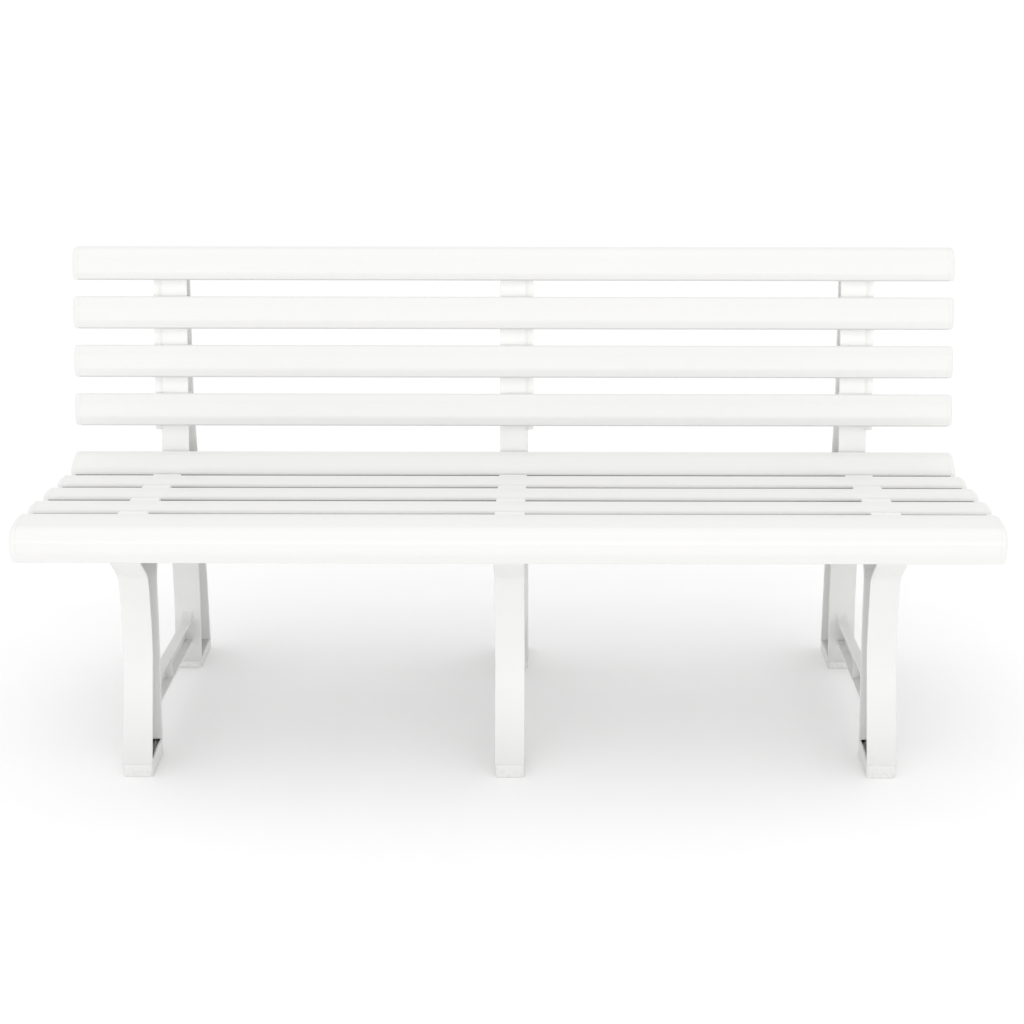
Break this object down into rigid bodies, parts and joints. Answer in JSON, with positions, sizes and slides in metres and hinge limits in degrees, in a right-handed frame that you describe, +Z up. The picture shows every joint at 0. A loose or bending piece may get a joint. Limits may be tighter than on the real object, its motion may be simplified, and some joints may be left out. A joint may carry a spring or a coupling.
{
  "type": "garden bench",
  "caption": "Free-standing slatted bench with a reclined back, moulded side frames with open windows, hollow plastic slats and capped feet.",
  "frame": {"origin": "centre of the bench's footprint at floor level", "axes": "+X along the bench, -Y towards the sitter's front, +Z up"},
  "size_m": [1.455, 0.4895, 0.7296],
  "materials": {
    "frame_plastic": "satin moulded",
    "foot_plastic": "satin moulded",
    "slat_plastic": "semi-gloss",
    "cap_plastic": "semi-gloss",
    "screw_steel": "zinc plated"
  },
  "bodies": {
    "root": {"frame_left": "frame_plastic", "foot_cap_left_front": "foot_plastic", "foot_cap_left_rear": "foot_plastic", "frame_middle": "frame_plastic", "foot_cap_middle_front": "foot_plastic", "foot_cap_middle_rear": "foot_plastic", "frame_right": "frame_plastic", "foot_cap_right_front": "foot_plastic", "foot_cap_right_rear": "foot_plastic", "slat_seat_nose": "slat_plastic", "cap_seat_nose_left": "cap_plastic", "cap_seat_nose_right": "cap_plastic", "slat_seat_flat_1": "slat_plastic", "cap_seat_flat_1_left": "cap_plastic", "cap_seat_flat_1_right": "cap_plastic", "screw_seat_flat_1_left": "screw_steel", "screw_seat_flat_1_middle": "screw_steel", "screw_seat_flat_1_right": "screw_steel", "slat_seat_flat_2": "slat_plastic", "cap_seat_flat_2_left": "cap_plastic", "cap_seat_flat_2_right": "cap_plastic", "screw_seat_flat_2_left": "screw_steel", "screw_seat_flat_2_middle": "screw_steel", "screw_seat_flat_2_right": "screw_steel", "slat_seat_flat_3": "slat_plastic", "cap_seat_flat_3_left": "cap_plastic", "cap_seat_flat_3_right": "cap_plastic", "screw_seat_flat_3_left": "screw_steel", "screw_seat_flat_3_middle": "screw_steel", "screw_seat_flat_3_right": "screw_steel", "slat_seat_rear": "slat_plastic", "cap_seat_rear_left": "cap_plastic", "cap_seat_rear_right": "cap_plastic", "screw_seat_rear_left": "screw_steel", "screw_seat_rear_middle": "screw_steel", "screw_seat_rear_right": "screw_steel", "slat_back_1": "slat_plastic", "cap_back_1_left": "cap_plastic", "cap_back_1_right": "cap_plastic", "screw_back_1_left": "screw_steel", "screw_back_1_middle": "screw_steel", "screw_back_1_right": "screw_steel", "slat_back_2": "slat_plastic", "cap_back_2_left": "cap_plastic", "cap_back_2_right": "cap_plastic", "screw_back_2_left": "screw_steel", "screw_back_2_middle": "screw_steel", "screw_back_2_right": "screw_steel", "slat_back_3": "slat_plastic", "cap_back_3_left": "cap_plastic", "cap_back_3_right": "cap_plastic", "screw_back_3_left": "screw_steel", "screw_back_3_middle": "screw_steel", "screw_back_3_right": "screw_steel", "slat_back_4": "slat_plastic", "cap_back_4_left": "cap_plastic", "cap_back_4_right": "cap_plastic", "screw_back_4_left": "screw_steel", "screw_back_4_middle": "screw_steel", "screw_back_4_right": "screw_steel"}
  },
  "joints": []
}
